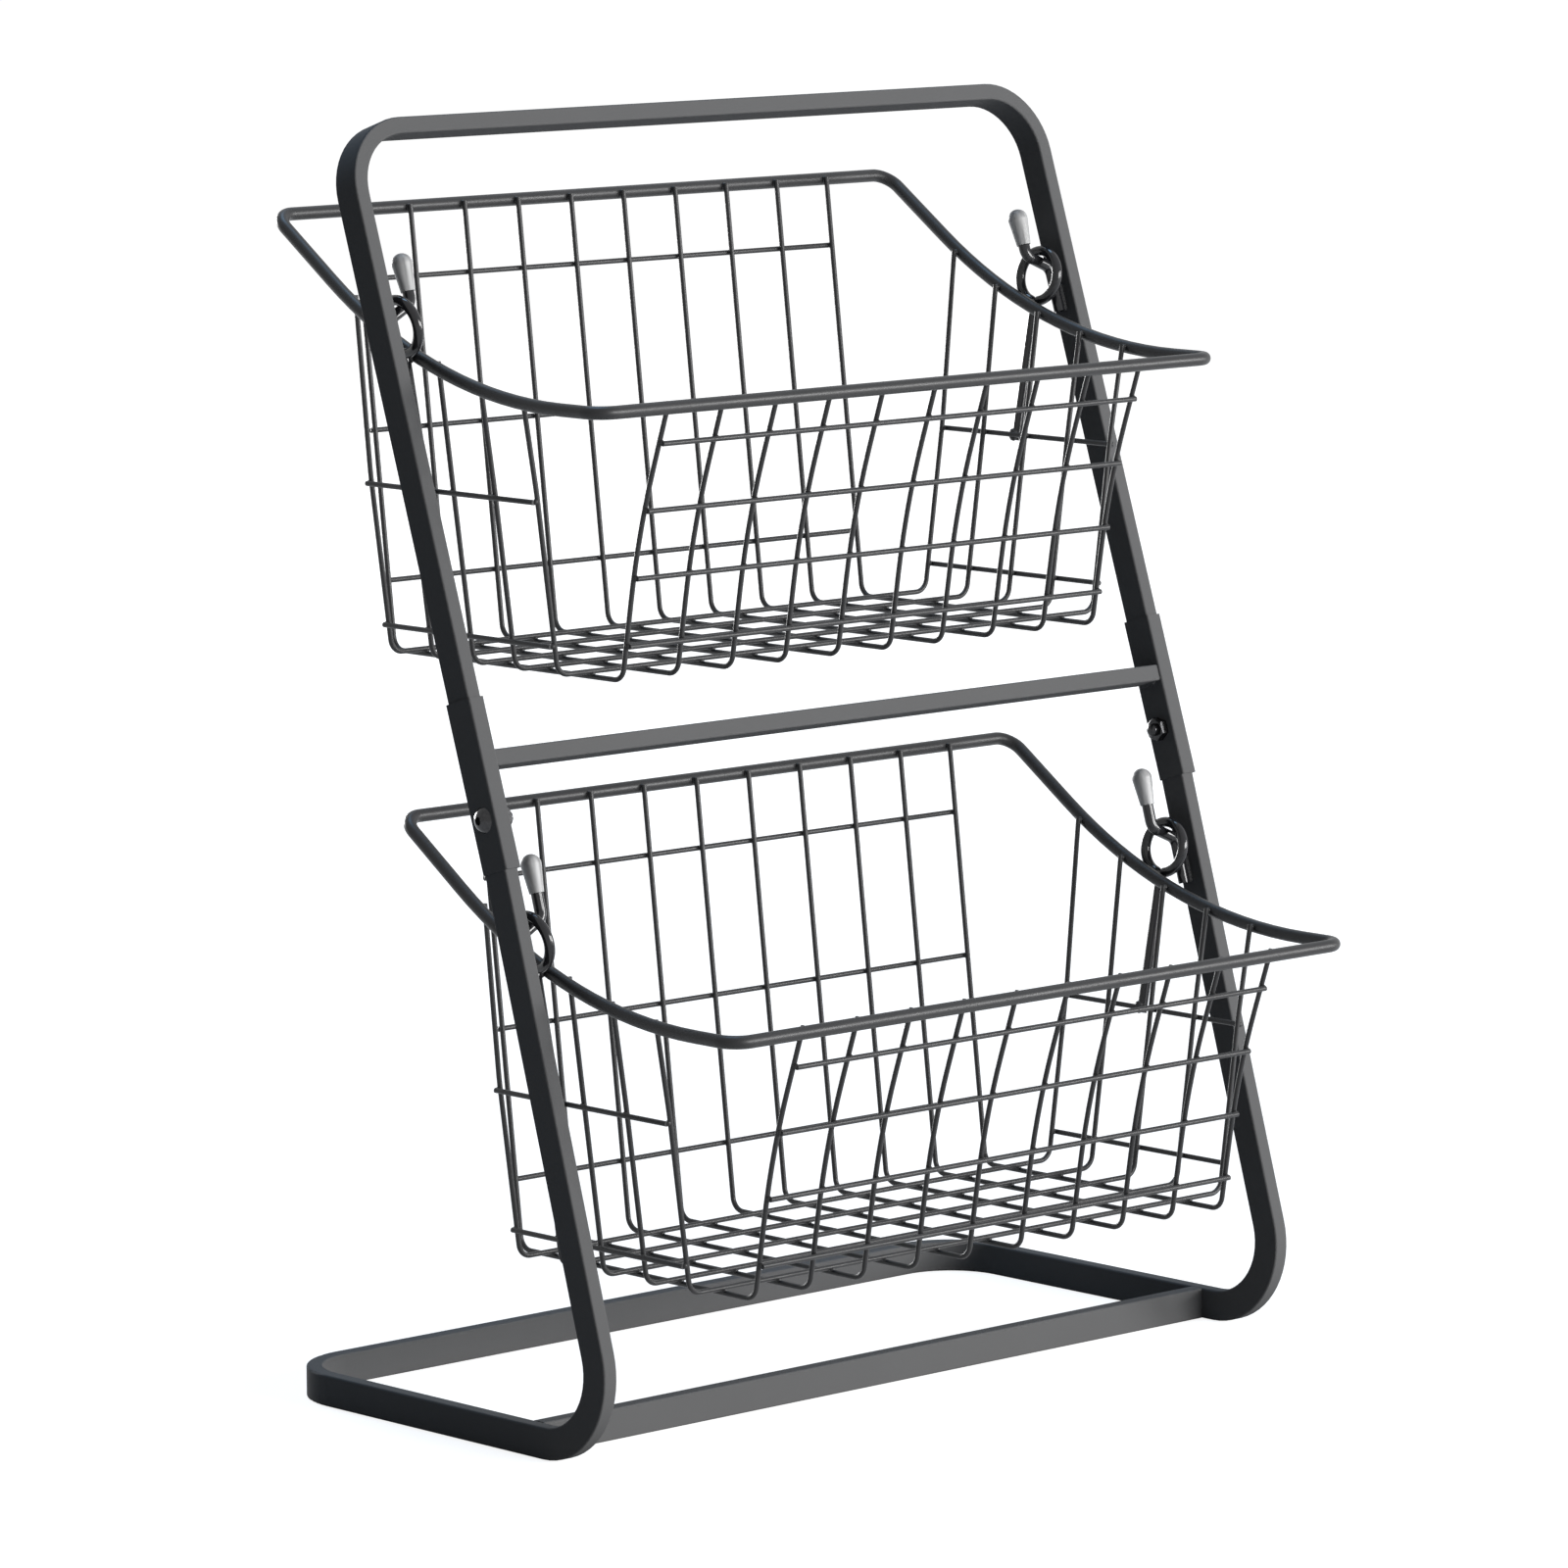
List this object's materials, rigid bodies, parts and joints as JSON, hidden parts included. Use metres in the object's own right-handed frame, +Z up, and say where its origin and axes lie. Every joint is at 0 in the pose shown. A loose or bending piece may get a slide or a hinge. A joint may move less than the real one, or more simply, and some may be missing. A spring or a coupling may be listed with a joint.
{
  "type": "tiered wire basket",
  "caption": "Free-standing tiered wire basket: open baskets of bent wire hang by eyes on the hooks of a leaning flat-bar stand and can swing on them.",
  "frame": {"origin": "on the floor, in the middle of the whole outline in width and depth", "axes": "+X to the right seen from the front, +Y to the back, +Z up"},
  "size_m": [0.3644, 0.2568, 0.4833],
  "materials": {
    "coated_bar": "matte black powder coat",
    "coated_wire": "satin black powder coat",
    "clear_tip": "clear soft plastic",
    "screw_steel": "blackened steel"
  },
  "bodies": {
    "stand": {"lower_frame_bar": "coated_bar", "front_crossbar": "coated_bar", "upper_frame_bar": "coated_bar", "mid_crossbar": "coated_bar", "left_sleeve": "coated_bar", "right_sleeve": "coated_bar", "upper_left_hook": "coated_wire", "upper_left_hook_tip": "clear_tip", "upper_right_hook": "coated_wire", "upper_right_hook_tip": "clear_tip", "lower_left_hook": "coated_wire", "lower_left_hook_tip": "clear_tip", "lower_right_hook": "coated_wire", "lower_right_hook_tip": "clear_tip", "joint_screws": "screw_steel", "joint_nuts": "screw_steel"},
    "upper_basket": {"upper_basket_rim": "coated_wire", "upper_basket_long_wire_01": "coated_wire", "upper_basket_long_wire_02": "coated_wire", "upper_basket_long_wire_03": "coated_wire", "upper_basket_long_wire_04": "coated_wire", "upper_basket_long_wire_05": "coated_wire", "upper_basket_long_wire_06": "coated_wire", "upper_basket_long_wire_07": "coated_wire", "upper_basket_long_wire_08": "coated_wire", "upper_basket_long_wire_09": "coated_wire", "upper_basket_long_wire_10": "coated_wire", "upper_basket_cross_wire_1": "coated_wire", "upper_basket_cross_wire_2": "coated_wire", "upper_basket_cross_wire_3": "coated_wire", "upper_basket_cross_wire_4": "coated_wire", "upper_basket_cross_wire_5": "coated_wire", "upper_basket_front_rails": "coated_wire", "upper_basket_back_rails": "coated_wire", "upper_basket_left_rails": "coated_wire", "upper_basket_right_rails": "coated_wire", "upper_basket_left_hanger": "coated_wire", "upper_basket_right_hanger": "coated_wire"},
    "lower_basket": {"lower_basket_rim": "coated_wire", "lower_basket_long_wire_01": "coated_wire", "lower_basket_long_wire_02": "coated_wire", "lower_basket_long_wire_03": "coated_wire", "lower_basket_long_wire_04": "coated_wire", "lower_basket_long_wire_05": "coated_wire", "lower_basket_long_wire_06": "coated_wire", "lower_basket_long_wire_07": "coated_wire", "lower_basket_long_wire_08": "coated_wire", "lower_basket_long_wire_09": "coated_wire", "lower_basket_long_wire_10": "coated_wire", "lower_basket_cross_wire_1": "coated_wire", "lower_basket_cross_wire_2": "coated_wire", "lower_basket_cross_wire_3": "coated_wire", "lower_basket_cross_wire_4": "coated_wire", "lower_basket_cross_wire_5": "coated_wire", "lower_basket_front_rails": "coated_wire", "lower_basket_back_rails": "coated_wire", "lower_basket_left_rails": "coated_wire", "lower_basket_right_rails": "coated_wire", "lower_basket_left_hanger": "coated_wire", "lower_basket_right_hanger": "coated_wire"}
  },
  "joints": [
    {"name": "upper_basket_swing", "type": "hinge", "parent": "stand", "child": "upper_basket", "pos_m": [0, 0.04612, 0.41281], "axis": [1, 0, 0], "range_deg": [-45, 45]},
    {"name": "lower_basket_swing", "type": "hinge", "parent": "stand", "child": "lower_basket", "pos_m": [0, -0.02412, 0.1924], "axis": [1, 0, 0], "range_deg": [-45, 45]}
  ]
}
